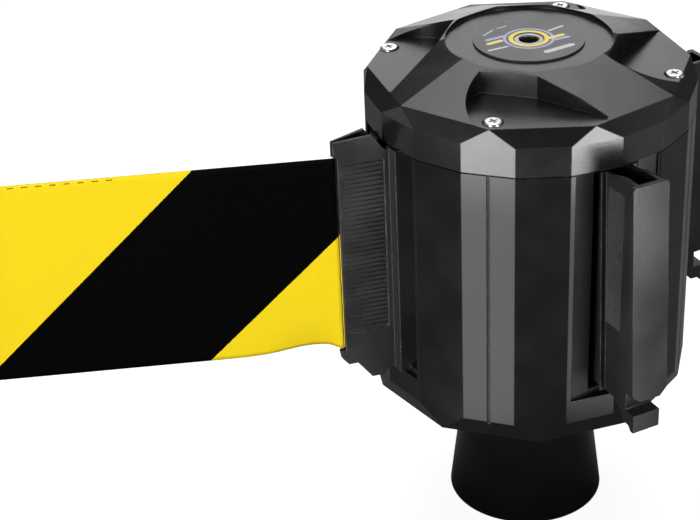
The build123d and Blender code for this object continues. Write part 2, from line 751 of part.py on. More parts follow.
with BuildPart() as spout:
    with BuildSketch(Plane.XY.offset(chin_low - 1)):
        with BuildLine():
            Polyline((spout_root, -spout_half(spout_root)), (lower_lip_r, -spout_half(lower_lip_r)),
                     (lower_lip_r, spout_half(lower_lip_r)), (spout_root, spout_half(spout_root)),
                     (spout_root, -spout_half(spout_root)))
        make_face()
    extrude(amount=mouth_top - chin_low + 2)
    with BuildSketch(Plane.XZ):
        with BuildLine():
            Polyline((upper_lip_r, mouth_top), (upper_lip_r, upper_lip_low), (mouth_r, upper_lip_low),
                     (mouth_r, lower_lip_top), (lower_lip_r, lower_lip_top), (lower_lip_r - 1, mouth_low + 3),
                     (lower_lip_r - 3.4, mouth_low), (chin_heel_r, mouth_low), (chin_r, chin_low),
                     (chin_back_r, chin_low), (head_r + spout_heel, spout_sill), (spout_root, spout_sill),
                     (spout_root, stem_top), (head_r + stem_shoulder, stem_top),
                     (spout_collar_r, mouth_top + 0.6), (upper_lip_r, mouth_top))
        make_face()
    extrude(amount=head_r, both=True, mode=Mode.INTERSECT)
    # sunk grip panels on both sides
    for side in (1, -1):
        flank = Plane(origin=(spout_root, side * spout_half(spout_root), 0),
                      x_dir=(mouth_r - spout_root, side * (mouth_tip_half - mouth_root_half), 0),
                      z_dir=(mouth_root_half - mouth_tip_half, side * (mouth_r - spout_root), 0))
        with BuildSketch(flank):
            panel_centre = (panel_near_r + panel_far_r) / 2 - spout_root
            with Locations((panel_centre, flank.y_dir.Z * (panel_low + panel_high) / 2)):
                RectangleRounded(panel_far_r - panel_near_r, panel_high - panel_low, panel_round)
        extrude(amount=-panel_depth, mode=Mode.SUBTRACT)

with BuildPart() as outlet:
    add(pocket.part)
    with BuildSketch(Plane.XY.offset(pocket_low)):
        with Locations(((pocket_depth_r + spout_root + 1) / 2, 0)):
            Rectangle(spout_root + 1 - pocket_depth_r, 2 * housing_half)
    extrude(amount=pocket_high - pocket_low)
    add(spout.part)
    # room for the rollers
    with BuildSketch(Plane.XY.offset(pocket_low + pocket_plate + housing_floor)):
        with Locations(((pocket_depth_r + spout_root - 1) / 2 - 1, 0)):
            Rectangle(spout_root - 1 - pocket_depth_r + 2, 2 * (housing_half - housing_wall))
    extrude(amount=pocket_high - housing_roof - pocket_low - pocket_plate - housing_floor, mode=Mode.SUBTRACT)
    # belt channel through the spout, open at the top
    with BuildSketch(Plane.XY.offset(belt_low - channel_play)):
        with BuildLine():
            Polyline((spout_root - 2, -channel_half(spout_root)), (mouth_r, -channel_half(mouth_r)),
                     (lower_lip_r + 1, -channel_half(mouth_r)), (lower_lip_r + 1, channel_half(mouth_r)),
                     (mouth_r, channel_half(mouth_r)), (spout_root - 2, channel_half(spout_root)),
                     (spout_root - 2, -channel_half(spout_root)))
        make_face()
    extrude(amount=mouth_top + 5 - belt_low, mode=Mode.SUBTRACT)
    # seats of the roller pins
    with BuildSketch(Plane.XY.offset(pocket_low + pocket_plate)):
        with Locations((-roller_x, roller_y), (-roller_x, -roller_y)):
            Circle(roller_pin_r)
    extrude(amount=body_height, mode=Mode.SUBTRACT)
save(outlet.part.rotate(Axis.Z, 180), "belt_outlet")

# ---- belt outside the head and its end clip ----
clip_plane = Plane(origin=(*along_belt(belt_run_length), 0), x_dir=(*belt_dir, 0), z_dir=(0, 0, 1))
belt_tuck = 12.0                # how far the belt's end reaches into the clip
belt_start = 0.4
belt_plane = Plane(origin=(*along_belt(0), belt_low), x_dir=(*belt_dir, 0), z_dir=(0, 0, 1))

with BuildPart() as belt_run:
    with BuildSketch(belt_plane):
        with Locations(((belt_start + belt_run_length + belt_tuck) / 2, 0)):
            Rectangle(belt_run_length + belt_tuck - belt_start, belt_thickness)
    extrude(amount=belt_width)
save(belt_run.part, "belt_run")

clip_end = clip_length + clip_head_depth
channel_start = clip_length + clip_wall
screw_heights = [clip_low + share * (clip_high - clip_low) for share in (0.12, 0.5, 0.88)]
clip_screw_x = 21.0
with BuildPart() as whole_clip:
    with BuildSketch(clip_plane.offset(clip_low)):
        with BuildLine():
            Polyline((0, -clip_tip_half), (clip_length, -clip_root_half), (clip_length, -clip_head_half),
                     (clip_end, -clip_head_half), (clip_end, clip_head_half), (clip_length, clip_head_half),
                     (clip_length, clip_root_half), (0, clip_tip_half), (0, -clip_tip_half))
        make_face()
    extrude(amount=clip_high - clip_low)
    # channel that drops over a receiver's hook plate, open below
    with BuildSketch(clip_plane.offset(clip_low)):
        with Locations((channel_start + clip_channel_depth / 2, 0)):
            Rectangle(clip_channel_depth, 2 * clip_channel_half)
        with Locations((clip_end, 0)):
            Rectangle(2 * (clip_head_depth - clip_wall - 1), 2 * clip_throat_half)
    extrude(amount=clip_high - clip_low - clip_roof, mode=Mode.SUBTRACT)
    # slot for the belt and bore for its pin
    with BuildSketch(clip_plane.offset(belt_low - 0.3)):
        with Locations((belt_tuck / 2, 0)):
            Rectangle(belt_tuck + 0.4, belt_thickness)
        with Locations((belt_tuck + 0.2 + clip_pin_r, 0)):
            Circle(clip_pin_r)
    extrude(amount=belt_width + 0.6, mode=Mode.SUBTRACT)

screw_plane = Plane(origin=(*along_belt(belt_run_length + clip_screw_x), 0), x_dir=(*belt_dir, 0),
                    z_dir=(-belt_side[0], -belt_side[1], 0))
screw_spots = [(0, height if screw_plane.y_dir.Z > 0 else -height) for height in screw_heights]
screw_face = clip_root_half - clip_screw_sink
with BuildPart() as clip_screws:
    with BuildSketch(screw_plane.offset(screw_face)):
        with Locations(*screw_spots):
            Circle(clip_screw_r)
    extrude(amount=-clip_screw_head)
    with BuildSketch(screw_plane.offset(screw_face - clip_screw_head)):
        with Locations(*screw_spots):
            Circle(clip_screw_shank_r)
    extrude(amount=-clip_screw_length)
    with BuildSketch(screw_plane.offset(screw_face)):
        with Locations(*screw_spots):
            Rectangle(2.8, 0.7)
            Rectangle(0.7, 2.8)
    extrude(amount=-0.8, mode=Mode.SUBTRACT)
save(clip_screws.part, "clip_screws")

clip_halves = {"clip_body": 1, "clip_cover": -1}
for half_name, half_side in clip_halves.items():
    with BuildPart() as clip_half:
        add(whole_clip.part)
        with BuildSketch(clip_plane.offset(clip_low - 1)):
            with Locations((clip_end / 2, half_side * clip_head_half)):
                Rectangle(2 * clip_end, 2 * clip_head_half - parting)
        extrude(amount=clip_high - clip_low + 2, mode=Mode.INTERSECT)
        with BuildSketch(screw_plane.offset(clip_root_half + 2)):
            with Locations(*screw_spots):
                Circle(clip_screw_r)
        extrude(amount=-(2 + clip_screw_sink + clip_screw_head), mode=Mode.SUBTRACT)
        with BuildSketch(screw_plane.offset(screw_face - clip_screw_head)):
            with Locations(*screw_spots):
                Circle(clip_screw_shank_r)
        extrude(amount=-clip_screw_length, mode=Mode.SUBTRACT)
    save(clip_half.part, half_name)

with BuildPart() as clip_pin:
    with BuildSketch(clip_plane.offset(belt_low)):
        with Locations((belt_tuck + 0.2 + clip_pin_r, 0)):
            Circle(clip_pin_r)
    extrude(amount=belt_width)
save(clip_pin.part, "clip_pin")
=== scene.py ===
import json
import math

import bmesh
import bpy
from mathutils import Matrix, Vector


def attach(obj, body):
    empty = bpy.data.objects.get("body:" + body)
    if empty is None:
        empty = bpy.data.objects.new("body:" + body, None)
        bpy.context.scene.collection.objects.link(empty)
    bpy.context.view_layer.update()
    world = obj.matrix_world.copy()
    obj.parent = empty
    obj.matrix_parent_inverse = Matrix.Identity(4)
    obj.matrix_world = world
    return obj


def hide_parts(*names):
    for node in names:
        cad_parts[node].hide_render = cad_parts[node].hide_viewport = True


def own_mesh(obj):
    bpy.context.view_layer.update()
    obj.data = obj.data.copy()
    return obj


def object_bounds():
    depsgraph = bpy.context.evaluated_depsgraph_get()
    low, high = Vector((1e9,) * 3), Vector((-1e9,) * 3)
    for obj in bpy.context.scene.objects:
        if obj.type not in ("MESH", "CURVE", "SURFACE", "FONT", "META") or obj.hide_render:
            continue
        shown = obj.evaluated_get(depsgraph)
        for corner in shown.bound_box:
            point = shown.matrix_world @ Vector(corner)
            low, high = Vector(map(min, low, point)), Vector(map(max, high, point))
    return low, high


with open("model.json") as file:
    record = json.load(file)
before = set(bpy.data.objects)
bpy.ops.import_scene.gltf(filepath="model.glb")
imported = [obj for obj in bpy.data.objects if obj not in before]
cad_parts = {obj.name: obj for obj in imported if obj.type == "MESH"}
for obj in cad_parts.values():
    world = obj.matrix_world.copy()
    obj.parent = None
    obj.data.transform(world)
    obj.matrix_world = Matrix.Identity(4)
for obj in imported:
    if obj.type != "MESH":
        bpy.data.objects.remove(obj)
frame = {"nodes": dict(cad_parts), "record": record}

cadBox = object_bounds()
nodes = frame["nodes"]
record = frame["record"]
mm = 0.001
print("frame loaded with", len(nodes), "CAD nodes")


# the camera
cameraView = {
    "place": (-0.4187, -0.6692, 0.5848),        # metres, as in the studio
    "ahead": (0.37715, 0.78126, -0.49737),
    "right": (0.88977, -0.45468, -0.03953),     # the camera leans over a little
    "lens": 95.67,                              # millimetres, with a sensor as wide as full frame
    "sensor": 36.0,
}


def makeCamera(view):
    data = bpy.data.cameras.new("headCamera")
    data.lens = view["lens"]
    data.sensor_width = view["sensor"]
    camera = bpy.data.objects.new("headCamera", data)
    bpy.context.scene.collection.objects.link(camera)
    back = -Vector(view["ahead"]).normalized()
    up = back.cross(Vector(view["right"])).normalized()
    axes = Matrix((up.cross(back), up, back)).transposed()
    camera.matrix_world = Matrix.Translation(view["place"]) @ axes.to_4x4()
    bpy.context.scene.camera = camera


makeCamera(cameraView)


# the studio: a pale floor, a pale world, and soft cards that give the facets their streaks
studio = {
    "worldSeen": 1.0,                   # what the camera sees behind the head
    "worldLight": 0.08,                 # what the head sees all round
    "floorGrey": 0.34,
    "floorGlow": 0.93,                  # lifts the floor to near white for the camera only
    "floorHalf": 5.0,
    "floorGap": 0.0005,                 # the paper lies just under the collar
    "floorRoughness": 0.9,
    "floorGloss": 0.1,
    "aimHeight": 0.18,
    # bearing from the head in degrees, then near and far edge as (distance, height), width, radiance
    "cards": {
        "cardLeftLow": (212.0, (0.18, 0.003), (0.262, 0.105), 0.13, 5.5),
        "cardLeftHigh": (212.0, (0.264, 0.107), (0.52, 0.42), 0.15, 12.0),
        "cardRightLow": (279.0, (0.20, 0.003), (0.262, 0.105), 0.06, 4.0),
        "cardRightHigh": (280.0, (0.264, 0.107), (0.52, 0.42), 0.10, 16.0),
        "cardFarRight": (330.0, (0.40, 0.003), (0.60, 0.60), 0.10, 1.2),
        "cardLeftEdge": (150.0, (0.60, 0.003), (0.80, 0.90), 0.30, 0.6),
        "cardRear": (60.0, (0.60, 0.003), (0.80, 0.90), 0.40, 1.2),
    },
    # place, side, radiance; the first lights the belt alone
    "beltLamp": ((-0.70, -1.00, 0.60), 0.8, 8.7),
    "softboxes": {
        "softboxBack": ((0.70, 1.12, 0.80), 0.9, 0.34),
        "softboxTop": ((0.22, 0.35, 1.25), 1.0, 3.0),
        "softboxSide": ((-1.20, -0.15, 0.90), 0.6, 1.0),
    },
}


def areaLight(name, spot, aim, width, height, radiance):
    data = bpy.data.lights.new(name, "AREA")
    data.shape = "RECTANGLE"
    data.size = width
    data.size_y = height
    data.energy = radiance * math.pi * width * height
    light = bpy.data.objects.new(name, data)
    bpy.context.scene.collection.objects.link(light)
    light.location = spot
    light.rotation_euler = (Vector(aim) - Vector(spot)).to_track_quat("-Z", "Y").to_euler()
    light.visible_camera = False
    return light


def makeFloor(values):
    half = values["floorHalf"]
    grey = values["floorGrey"]
    low = cadBox[0].z - values["floorGap"]
    corners = [(-half, -half, low), (half, -half, low), (half, half, low), (-half, half, low)]
    mesh = bpy.data.meshes.new("studioFloor")
    mesh.from_pydata(corners, [], [(0, 1, 2, 3)])
    floor = bpy.data.objects.new("studioFloor", mesh)
    bpy.context.scene.collection.objects.link(floor)
    paper = bpy.data.materials.new("floorPaper")
    paper.use_nodes = True
    shader = paper.node_tree.nodes["Principled BSDF"]
    shader.inputs["Base Color"].default_value = (grey, grey, grey, 1)
    shader.inputs["Roughness"].default_value = values["floorRoughness"]
    shader.inputs["Emission Color"].default_value = (1, 1, 1, 1)
    shader.inputs["Specular IOR Level"].default_value = values["floorGloss"]
    seen = paper.node_tree.nodes.new("ShaderNodeLightPath").outputs["Is Camera Ray"]
    lift = paper.node_tree.nodes.new("ShaderNodeMath")
    lift.operation = "MULTIPLY"
    lift.inputs[1].default_value = values["floorGlow"]
    paper.node_tree.links.new(seen, lift.inputs[0])
    paper.node_tree.links.new(lift.outputs[0], shader.inputs["Emission Strength"])
    mesh.materials.append(paper)


cardLit = bpy.data.collections.new("cardLit")      # the cards light all of the object but the belt's run
beltLit = bpy.data.collections.new("beltLit")      # and that run has a lamp of its own


def makeStudio(values):
    scene = bpy.context.scene
    scene.view_settings.view_transform = "Standard"
    world = bpy.data.worlds.new("studioWorld")
    scene.world = world
    world.use_nodes = True
    tree = world.node_tree
    brightness = tree.nodes.new("ShaderNodeMix")
    seen = tree.nodes.new("ShaderNodeLightPath").outputs["Is Camera Ray"]
    tree.links.new(seen, brightness.inputs["Factor"])
    brightness.inputs["A"].default_value = values["worldLight"]
    brightness.inputs["B"].default_value = values["worldSeen"]
    background = tree.nodes["Background"]
    background.inputs["Color"].default_value = (1, 1, 1, 1)
    tree.links.new(brightness.outputs["Result"], background.inputs["Strength"])
    makeFloor(values)
    for name, (bearing, near, far, width, radiance) in values["cards"].items():
        turn = math.radians(bearing)
        outwards = Vector((math.cos(turn), math.sin(turn), 0))
        low = outwards * near[0] + Vector((0, 0, near[1]))
        high = outwards * far[0] + Vector((0, 0, far[1]))
        facing = (high - low).cross(outwards.cross(Vector((0, 0, 1))))
        if facing.dot(outwards) > 0:
            facing = -facing
        middle = (low + high) / 2
        card = areaLight(name, middle, middle + facing, width, (high - low).length, radiance)
        card.light_linking.receiver_collection = cardLit
    aim = (0, 0, values["aimHeight"])
    for name, (spot, size, radiance) in values["softboxes"].items():
        areaLight(name, spot, aim, size, size, radiance)
    spot, size, radiance = values["beltLamp"]
    lamp = areaLight("beltLamp", spot, aim, size, size, radiance)
    lamp.light_linking.receiver_collection = beltLit


makeStudio(studio)
print("camera, lights and floor")


# small helpers for node trees, then the groups that the materials share
def feed(tree, socket, value):
    if isinstance(value, bpy.types.NodeSocket):
        tree.links.new(value, socket)
    else:
        socket.default_value = value


def calc(tree, operation, *values):
    node = tree.nodes.new("ShaderNodeMath")
    node.operation = operation
    for socket, value in zip(node.inputs, values):
        feed(tree, socket, value)
    return node.outputs[0]


# 0 below low and 1 above high, with a smooth rise between
def ramp(tree, value, low, high):
    node = tree.nodes.new("ShaderNodeMapRange")
    node.interpolation_type = "SMOOTHSTEP"
    feed(tree, node.inputs["Value"], value)
    feed(tree, node.inputs["From Min"], low)
    feed(tree, node.inputs["From Max"], high)
    return node.outputs["Result"]


def noise(tree, vector, scale, detail=2.0, rough=0.5):
    node = tree.nodes.new("ShaderNodeTexNoise")
    feed(tree, node.inputs["Vector"], vector)
    feed(tree, node.inputs["Scale"], scale)
    node.inputs["Detail"].default_value = detail
    node.inputs["Roughness"].default_value = rough
    return node.outputs["Fac"]


def objectPoint(tree):
    return tree.nodes.new("ShaderNodeTexCoord").outputs["Object"]


def scaled(tree, vector, factors):
    node = tree.nodes.new("ShaderNodeMapping")
    feed(tree, node.inputs["Vector"], vector)
    node.inputs["Scale"].default_value = factors
    return node.outputs["Vector"]


def newGroup(name, inputs, outputs):
    tree = bpy.data.node_groups.new(name, "ShaderNodeTree")
    for label, kind, value in inputs:
        socket = tree.interface.new_socket(name=label, in_out="INPUT", socket_type=kind)
        if value is not None:
            socket.default_value = value
    for label, kind in outputs:
        tree.interface.new_socket(name=label, in_out="OUTPUT", socket_type=kind)
    return tree, tree.nodes.new("NodeGroupInput").outputs, tree.nodes.new("NodeGroupOutput").inputs


number = "NodeSocketFloat"
direction = "NodeSocketVector"

# where the noises, from 0 to 1, turn into marks; their scales are per metre
grainMix = {"cellScale": 0.55, "pitDepth": 0.6, "dull": 0.3, "bright": 0.7}
wearMix = {"samples": 4, "flat": 0.01, "sharp": 0.12, "patchLow": 0.42, "patchHigh": 0.7}
handlingMix = {
    "upright": (900.0, 900.0, 22.0), "uprightFrom": 0.66, "uprightTo": 0.74,
    "slanting": (60.0, 60.0, 1400.0), "slantingFrom": 0.68, "slantingTo": 0.76,
    "patches": 38.0, "patchLow": 0.45, "patchHigh": 0.75,
    "specks": 1500.0, "speckFrom": 0.7, "speckTo": 0.78,
}
brushedMix = {"patches": 160.0, "dull": 0.3, "bright": 0.7}
weaveMix = {"ribShare": 0.6, "shadeMiddle": 0.5}


# spark-eroded grain of a moulding, and the slow unevenness of its gloss
def buildMouldGrain():
    tree, given, made = newGroup(
        "mouldGrain", [("Scale", number, 2200.0), ("Evenness", number, 45.0)],
        [("Height", number), ("Tone", number)])
    point = objectPoint(tree)
    fine = noise(tree, point, given["Scale"], 3.0, 0.6)
    cells = tree.nodes.new("ShaderNodeTexVoronoi")
    tree.links.new(point, cells.inputs["Vector"])
    feed(tree, cells.inputs["Scale"], calc(tree, "MULTIPLY", given["Scale"], grainMix["cellScale"]))
    pits = calc(tree, "MULTIPLY", cells.outputs["Distance"], grainMix["pitDepth"])
    feed(tree, made["Height"], calc(tree, "ADD", fine, pits))
    slow = noise(tree, point, given["Evenness"], 4.0)
    feed(tree, made["Tone"], ramp(tree, slow, grainMix["dull"], grainMix["bright"]))
    return tree


# rounds the look of an edge and marks where it is rubbed
def buildEdgeWear():
    tree, given, made = newGroup(
        "edgeWear", [("Radius", number, 0.0006), ("Breakup", number, 300.0)],
        [("Mask", number), ("Rounded", direction)])
    rounded = tree.nodes.new("ShaderNodeBevel")
    rounded.samples = wearMix["samples"]
    feed(tree, rounded.inputs["Radius"], given["Radius"])
    facing = tree.nodes.new("ShaderNodeVectorMath")
    facing.operation = "DOT_PRODUCT"
    tree.links.new(rounded.outputs["Normal"], facing.inputs[0])
    tree.links.new(tree.nodes.new("ShaderNodeNewGeometry").outputs["Normal"], facing.inputs[1])
    turned = calc(tree, "SUBTRACT", 1.0, facing.outputs["Value"])
    patches = noise(tree, objectPoint(tree), given["Breakup"], 3.0)
    worn = ramp(tree, patches, wearMix["patchLow"], wearMix["patchHigh"])
    edge = ramp(tree, turned, wearMix["flat"], wearMix["sharp"])
    feed(tree, made["Mask"], calc(tree, "MULTIPLY", edge, worn))
    feed(tree, made["Rounded"], rounded.outputs["Normal"])
    return tree


# fine scratches in two directions and a little dust, as on a handled moulding
def buildHandling():
    tree, given, made = newGroup(
        "handling", [("Scratches", number, 1.0), ("Dust", number, 1.0)], [("Mask", number)])
    point = objectPoint(tree)
    mix = handlingMix
    upright = noise(tree, scaled(tree, point, mix["upright"]), 1.0, 2.0)
    slanting = noise(tree, scaled(tree, point, mix["slanting"]), 1.0, 2.0)
    where = ramp(tree, noise(tree, point, mix["patches"], 3.0), mix["patchLow"], mix["patchHigh"])
    lines = calc(tree, "ADD", ramp(tree, upright, mix["uprightFrom"], mix["uprightTo"]),
                 ramp(tree, slanting, mix["slantingFrom"], mix["slantingTo"]))
    scratched = calc(tree, "MULTIPLY", calc(tree, "MULTIPLY", lines, where), given["Scratches"])
    specks = ramp(tree, noise(tree, point, mix["specks"], 2.0), mix["speckFrom"], mix["speckTo"])
    dusty = calc(tree, "MULTIPLY", specks, given["Dust"])
    feed(tree, made["Mask"], calc(tree, "MINIMUM", calc(tree, "ADD", scratched, dusty), 1.0))
    return tree


# turning or rolling marks of a metal
def buildBrushed():
    tree, given, made = newGroup(
        "brushed", [("Across", number, 2600.0), ("Along", number, 90.0)],
        [("Height", number), ("Tone", number)])
    point = objectPoint(tree)
    parts = tree.nodes.new("ShaderNodeSeparateXYZ")
    tree.links.new(point, parts.inputs[0])
    turned = tree.nodes.new("ShaderNodeCombineXYZ")
    feed(tree, turned.inputs[0], calc(tree, "MULTIPLY", parts.outputs["X"], given["Along"]))
    feed(tree, turned.inputs[1], calc(tree, "MULTIPLY", parts.outputs["Y"], given["Along"]))
    feed(tree, turned.inputs[2], calc(tree, "MULTIPLY", parts.outputs["Z"], given["Across"]))
    feed(tree, made["Height"], noise(tree, turned.outputs[0], 1.0, 3.0))
    slow = noise(tree, point, brushedMix["patches"], 3.0)
    feed(tree, made["Tone"], ramp(tree, slow, brushedMix["dull"], brushedMix["bright"]))
    return tree


# ribbed plain weave of webbing; U runs along the belt and V across it, both in metres
def buildWeave():
    tree, given, made = newGroup(
        "weave", [("U", number, 0.0), ("V", number, 0.0), ("Pitch", number, 0.0009)],
        [("Height", number), ("Shade", number)])
    along = calc(tree, "DIVIDE", given["U"], given["Pitch"])
    across = calc(tree, "DIVIDE", given["V"], given["Pitch"])
    weft = calc(tree, "SINE", calc(tree, "MULTIPLY", along, 2 * math.pi))
    warp = calc(tree, "SINE", calc(tree, "MULTIPLY", across, 2 * math.pi))
    crossing = calc(tree, "MULTIPLY", weft, warp)
    ribs = calc(tree, "MULTIPLY", calc(tree, "ABSOLUTE", warp), weaveMix["ribShare"])
    feed(tree, made["Height"], calc(tree, "ADD", crossing, ribs))
    middle = weaveMix["shadeMiddle"]
    feed(tree, made["Shade"], calc(tree, "MULTIPLY_ADD", crossing, middle, middle))
    return tree


# 1 between two radii about the middle of a flat face, and 0 elsewhere
def buildRing():
    tree, given, made = newGroup(
        "printedRing",
        [("X", number, 0.0), ("Y", number, 0.0), ("Inner", number, 0.0), ("Outer", number, 0.0)],
        [("Mask", number)])
    acrossSquare = calc(tree, "MULTIPLY", given["X"], given["X"])
    upSquare = calc(tree, "MULTIPLY", given["Y"], given["Y"])
    reach = calc(tree, "SQRT", calc(tree, "ADD", acrossSquare, upSquare))
    within = calc(tree, "LESS_THAN", reach, given["Outer"])
    beyond = calc(tree, "GREATER_THAN", reach, given["Inner"])
    feed(tree, made["Mask"], calc(tree, "MULTIPLY", within, beyond))
    return tree


# 1 inside a straight bar with round ends, and 0 elsewhere
def buildBar():
    tree, given, made = newGroup(
        "printedBar",
        [("X", number, 0.0), ("Y", number, 0.0), ("Mid X", number, 0.0), ("Mid Y", number, 0.0),
         ("Turn", number, 0.0), ("Half Length", number, 0.0), ("Half Width", number, 0.0)],
        [("Mask", number)])
    away = calc(tree, "SUBTRACT", given["X"], given["Mid X"])
    up = calc(tree, "SUBTRACT", given["Y"], given["Mid Y"])
    cosine = calc(tree, "COSINE", given["Turn"])
    sine = calc(tree, "SINE", given["Turn"])
    along = calc(tree, "ADD", calc(tree, "MULTIPLY", away, cosine), calc(tree, "MULTIPLY", up, sine))
    across = calc(tree, "SUBTRACT", calc(tree, "MULTIPLY", up, cosine), calc(tree, "MULTIPLY", away, sine))
    beyond = calc(tree, "SUBTRACT", calc(tree, "ABSOLUTE", along), given["Half Length"])
    past = calc(tree, "MAXIMUM", beyond, 0.0)
    squares = calc(tree, "ADD", calc(tree, "MULTIPLY", past, past), calc(tree, "MULTIPLY", across, across))
    gap = calc(tree, "SQRT", squares)
    feed(tree, made["Mask"], calc(tree, "LESS_THAN", gap, given["Half Width"]))
    return tree


groups = {
    "grain": buildMouldGrain(),
    "wear": buildEdgeWear(),
    "handling": buildHandling(),
    "brushed": buildBrushed(),
    "weave": buildWeave(),
    "ring": buildRing(),
    "bar": buildBar(),
}
print("shader groups:", ", ".join(sorted(groups)))


# one of the groups in a material, with its own values; underscores stand for spaces
def place(tree, name, **values):
    node = tree.nodes.new("ShaderNodeGroup")
    node.node_tree = groups[name]
    for label, value in values.items():
        feed(tree, node.inputs[label.replace("_", " ")], value)
    return node.outputs


def mixed(tree, share, first, second):
    node = tree.nodes.new("ShaderNodeMix")
    node.data_type = "RGBA"
    feed(tree, node.inputs["Factor"], share)
    for socket, colour in ((node.inputs[6], first), (node.inputs[7], second)):
        feed(tree, socket, colour if isinstance(colour, bpy.types.NodeSocket) else (*colour, 1.0))
    return node.outputs[2]


def blank(name):
    material = bpy.data.materials.new(name)
    material.use_nodes = True
    return material, material.node_tree, material.node_tree.nodes["Principled BSDF"].inputs


def bumped(tree, height, distance, rounded=None):
    node = tree.nodes.new("ShaderNodeBump")
    node.inputs["Distance"].default_value = distance
    feed(tree, node.inputs["Height"], height)
    if rounded is not None:
        tree.links.new(rounded, node.inputs["Normal"])
    return node.outputs["Normal"]


# the materials; lengths in metres, colours linear, roughness as (smooth, dull)
plasticMix = {"lighter": 1.5, "markDulls": 0.15}
plastics = {
    "shellBlack": {
        "colour": (0.0035, 0.0035, 0.0038), "rubbed": (0.030, 0.030, 0.032), "level": 0.24,
        "roughness": (0.18, 0.23), "grain": 900.0, "depth": 0.000010, "edge": 0.0006,
        "scratches": 0.4, "dust": 0.25, "marks": 0.12},
    "capBlack": {
        "colour": (0.0042, 0.0042, 0.0048), "rubbed": (0.040, 0.040, 0.042), "level": 0.50,
        "roughness": (0.22, 0.28), "grain": 2400.0, "depth": 0.00003, "edge": 0.0006,
        "scratches": 0.3, "dust": 0.35, "marks": 0.10},
    "fittingBlack": {
        "colour": (0.0065, 0.0065, 0.0070), "rubbed": (0.070, 0.070, 0.073), "level": 0.30,
        "roughness": (0.28, 0.38), "grain": 1300.0, "depth": 0.00003, "edge": 0.0006,
        "scratches": 1.0, "dust": 0.5, "marks": 0.30},
    "collarBlack": {
        "colour": (0.0020, 0.0020, 0.0022), "rubbed": (0.020, 0.020, 0.022), "level": 0.20,
        "roughness": (0.10, 0.14), "grain": 500.0, "depth": 0.00001, "edge": 0.0007,
        "scratches": 0.4, "dust": 0.2, "marks": 0.12},
    "gripBlack": {
        "colour": (0.0065, 0.0065, 0.0070), "rubbed": (0.070, 0.070, 0.073), "level": 0.50,
        "roughness": (0.24, 0.32), "grain": 1300.0, "depth": 0.00001, "edge": 0.0001,
        "scratches": 0.5, "dust": 0.3, "marks": 0.30},
    "innerPlastic": {
        "colour": (0.040, 0.040, 0.044), "rubbed": (0.12, 0.12, 0.12), "level": 0.45,
        "roughness": (0.40, 0.50), "grain": 1500.0, "depth": 0.00003, "edge": 0.0005,
        "scratches": 0.3, "dust": 0.2, "marks": 0.15},
}
metals = {
    "hubSteel": {"colour": (0.40, 0.40, 0.40), "deep": (0.26, 0.26, 0.26), "roughness": (0.26, 0.36),
                 "across": 5200.0, "along": 60.0, "depth": 0.00001, "edge": 0.0003},
    "zincSteel": {"colour": (0.78, 0.79, 0.80), "deep": (0.55, 0.56, 0.58), "roughness": (0.22, 0.38),
                  "across": 1400.0, "along": 700.0, "depth": 0.00001, "edge": 0.0002},
    "turnedSteel": {"colour": (0.62, 0.62, 0.61), "deep": (0.40, 0.40, 0.40), "roughness": (0.20, 0.34),
                    "across": 5200.0, "along": 60.0, "depth": 0.00001, "edge": 0.0003},
    "springSteel": {"colour": (0.22, 0.25, 0.32), "deep": (0.12, 0.13, 0.17), "roughness": (0.25, 0.40),
                    "across": 3000.0, "along": 40.0, "depth": 0.00001, "edge": 0.0002},
    "sheetSteel": {"colour": (0.56, 0.57, 0.58), "deep": (0.40, 0.41, 0.42), "roughness": (0.30, 0.45),
                   "across": 300.0, "along": 2200.0, "depth": 0.00001, "edge": 0.0003},
    "bushBronze": {"colour": (0.62, 0.42, 0.20), "deep": (0.42, 0.27, 0.12), "roughness": (0.35, 0.50),
                   "across": 1600.0, "along": 1600.0, "depth": 0.00002, "edge": 0.0003},
}


def plastic(name, look):
    material, tree, shader = blank(name)
    grain = place(tree, "grain", Scale=look["grain"])
    wear = place(tree, "wear", Radius=look["edge"])
    marks = place(tree, "handling", Scratches=look["scratches"], Dust=look["dust"])
    lighter = [plasticMix["lighter"] * part for part in look["colour"]]
    body = mixed(tree, grain["Tone"], look["colour"], lighter)
    rubbed = calc(tree, "MAXIMUM", wear["Mask"], calc(tree, "MULTIPLY", marks["Mask"], look["marks"]))
    feed(tree, shader["Base Color"], mixed(tree, rubbed, body, look["rubbed"]))
    smooth, dull = look["roughness"]
    uneven = calc(tree, "MULTIPLY_ADD", grain["Tone"], dull - smooth, smooth)
    dulled = calc(tree, "MULTIPLY_ADD", marks["Mask"], plasticMix["markDulls"], uneven)
    feed(tree, shader["Roughness"], dulled)
    shader["Specular IOR Level"].default_value = look["level"]
    feed(tree, shader["Normal"], bumped(tree, grain["Height"], look["depth"], wear["Rounded"]))
    return material


def metal(name, look):
    material, tree, shader = blank(name)
    turned = place(tree, "brushed", Across=look["across"], Along=look["along"])
    wear = place(tree, "wear", Radius=look["edge"])
    feed(tree, shader["Base Color"], mixed(tree, turned["Tone"], look["colour"], look["deep"]))
    shader["Metallic"].default_value = 1.0
    bright, dull = look["roughness"]
    feed(tree, shader["Roughness"], calc(tree, "MULTIPLY_ADD", turned["Tone"], dull - bright, bright))
    feed(tree, shader["Normal"], bumped(tree, turned["Height"], look["depth"], wear["Rounded"]))
    return material


